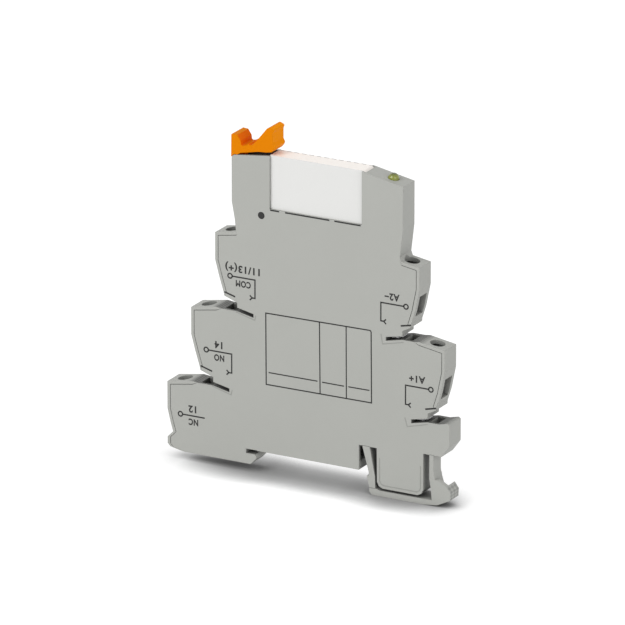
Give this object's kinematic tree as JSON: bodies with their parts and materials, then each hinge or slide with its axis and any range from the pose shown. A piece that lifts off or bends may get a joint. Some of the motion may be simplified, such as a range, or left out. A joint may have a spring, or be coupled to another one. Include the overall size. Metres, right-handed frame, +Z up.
{
  "type": "slim interface relay",
  "caption": "Slim rail-mounted interface relay: stepped grey terminal housing with clamp terminals, plug-in relay, orange ejector lever and status light.",
  "frame": {"origin": "middle of the rail's width, on the rail's upper face, in the middle of the module's thickness", "axes": "+X to the right of the printed face, towards the release foot; +Y away from the printed face, through the thickness; +Z up, away from the rail"},
  "size_m": [0.0817, 0.0062, 0.0931],
  "materials": {
    "housing": "fine spark-eroded, warm light grey",
    "relay_white": "satin",
    "lever": "satin orange",
    "lens": "translucent yellow-green",
    "led": "clear resin",
    "brass": "stamped",
    "tinned": "tinned",
    "steel": "zinc plated",
    "board": "solder resist",
    "black": "moulded epoxy",
    "blue_body": "lacquered",
    "capacitor_body": "sleeved",
    "bobbin": "natural",
    "copper": "lacquered copper wire",
    "card": "moulded"
  },
  "bodies": {
    "housing": {"base_shell": "housing", "front_cover": "housing", "foot_limbs": "housing", "status_lens": "lens", "status_led": "led", "circuit_board": "board", "bridge_rectifier": "black", "series_resistor": "blue_body", "suppressor_diode": "black", "smoothing_capacitor": "capacitor_body", "busbar_12": "brass", "busbar_14": "brass", "busbar_11": "brass", "busbar_a2": "brass", "busbar_a1": "brass", "bridge_contact_12": "tinned", "bridge_contact_14": "tinned", "bridge_contact_a1": "tinned", "bridge_contact_a2": "tinned", "socket_contact_12": "brass", "socket_contact_11": "brass", "socket_contact_14": "brass", "socket_contact_a1": "brass", "socket_contact_a2": "brass"},
    "foot": {"foot_bar": "housing"},
    "lever": {"ejector_lever": "lever"},
    "relay": {"relay_case": "relay_white", "relay_base": "relay_white", "coil_pins": "brass", "contact_pin_nc": "brass", "contact_pin_com": "brass", "contact_pin_no": "brass", "coil_bobbin": "bobbin", "coil_winding": "copper", "coil_core": "steel", "relay_yoke": "steel"},
    "armature": {"relay_armature": "steel"},
    "card": {"pusher_card": "card"},
    "spring": {"moving_spring": "copper"},
    "screw_12": {"clamp_screw_12": "steel"},
    "cage_12": {"clamp_cage_12": "steel"},
    "screw_14": {"clamp_screw_14": "steel"},
    "cage_14": {"clamp_cage_14": "steel"},
    "screw_11": {"clamp_screw_11": "steel"},
    "cage_11": {"clamp_cage_11": "steel"},
    "screw_a2": {"clamp_screw_a2": "steel"},
    "cage_a2": {"clamp_cage_a2": "steel"},
    "screw_a1": {"clamp_screw_a1": "steel"},
    "cage_a1": {"clamp_cage_a1": "steel"}
  },
  "joints": [
    {"name": "foot_slide", "type": "slide", "parent": "housing", "child": "foot", "axis": [1, 0, 0], "range_m": [0, 0.0016], "stiffness_N_per_m": 1500, "deforming": ["foot_limbs"]},
    {"name": "lever_swing", "type": "hinge", "parent": "housing", "child": "lever", "pos_m": [-0.02065, 0, 0.0774], "axis": [0, -1, 0], "range_deg": [0, 18]},
    {"name": "relay_lift", "type": "slide", "parent": "housing", "child": "relay", "axis": [0, 0, 1], "range_m": [0, 0.0035]},
    {"name": "armature_tilt", "type": "hinge", "parent": "relay", "child": "armature", "pos_m": [0.00183, 0, 0.0723], "axis": [0, -1, 0], "range_deg": [0, 7]},
    {"name": "card_slide", "type": "slide", "parent": "relay", "child": "card", "axis": [-1, 0, 0], "range_m": [0, 0.00035], "stiffness_N_per_m": 100},
    {"name": "spring_bend", "type": "hinge", "parent": "relay", "child": "spring", "pos_m": [-0.00515, 0, 0.0675], "axis": [0, -1, 0], "range_deg": [0, 2.6]},
    {"name": "screw_12_turn", "type": "hinge", "parent": "housing", "child": "screw_12", "pos_m": [-0.03602, 0, 0.00918], "axis": [-0.1633, 0, 0.9866], "range_deg": [-2160, 0]},
    {"name": "cage_12_rise", "type": "slide", "parent": "housing", "child": "cage_12", "axis": [-0.1633, 0, 0.9866], "range_m": [0, 0.003]},
    {"name": "screw_14_turn", "type": "hinge", "parent": "housing", "child": "screw_14", "pos_m": [-0.02897, 0, 0.03038], "axis": [-0.1633, 0, 0.9866], "range_deg": [-2160, 0]},
    {"name": "cage_14_rise", "type": "slide", "parent": "housing", "child": "cage_14", "axis": [-0.1633, 0, 0.9866], "range_m": [0, 0.003]},
    {"name": "screw_11_turn", "type": "hinge", "parent": "housing", "child": "screw_11", "pos_m": [-0.02192, 0, 0.05158], "axis": [-0.1633, 0, 0.9866], "range_deg": [-2160, 0]},
    {"name": "cage_11_rise", "type": "slide", "parent": "housing", "child": "cage_11", "axis": [-0.1633, 0, 0.9866], "range_m": [0, 0.003]},
    {"name": "screw_a2_turn", "type": "hinge", "parent": "housing", "child": "screw_a2", "pos_m": [0.02742, 0, 0.05138], "axis": [0.1633, 0, 0.9866], "range_deg": [-2160, 0]},
    {"name": "cage_a2_rise", "type": "slide", "parent": "housing", "child": "cage_a2", "axis": [0.1633, 0, 0.9866], "range_m": [0, 0.003]},
    {"name": "screw_a1_turn", "type": "hinge", "parent": "housing", "child": "screw_a1", "pos_m": [0.03472, 0, 0.03058], "axis": [0.1633, 0, 0.9866], "range_deg": [-2160, 0]},
    {"name": "cage_a1_rise", "type": "slide", "parent": "housing", "child": "cage_a1", "axis": [0.1633, 0, 0.9866], "range_m": [0, 0.003]}
  ],
  "couplings": [
    {"joint": "lever_swing", "follows": "relay_lift", "rad_per_m": 89.7},
    {"joint": "armature_tilt", "follows": "card_slide", "rad_per_m": 349},
    {"joint": "spring_bend", "follows": "card_slide", "rad_per_m": 126.5},
    {"joint": "screw_12_turn", "follows": "cage_12_rise", "rad_per_m": -12566},
    {"joint": "screw_14_turn", "follows": "cage_14_rise", "rad_per_m": -12566},
    {"joint": "screw_11_turn", "follows": "cage_11_rise", "rad_per_m": -12566},
    {"joint": "screw_a2_turn", "follows": "cage_a2_rise", "rad_per_m": -12566},
    {"joint": "screw_a1_turn", "follows": "cage_a1_rise", "rad_per_m": -12566}
  ]
}
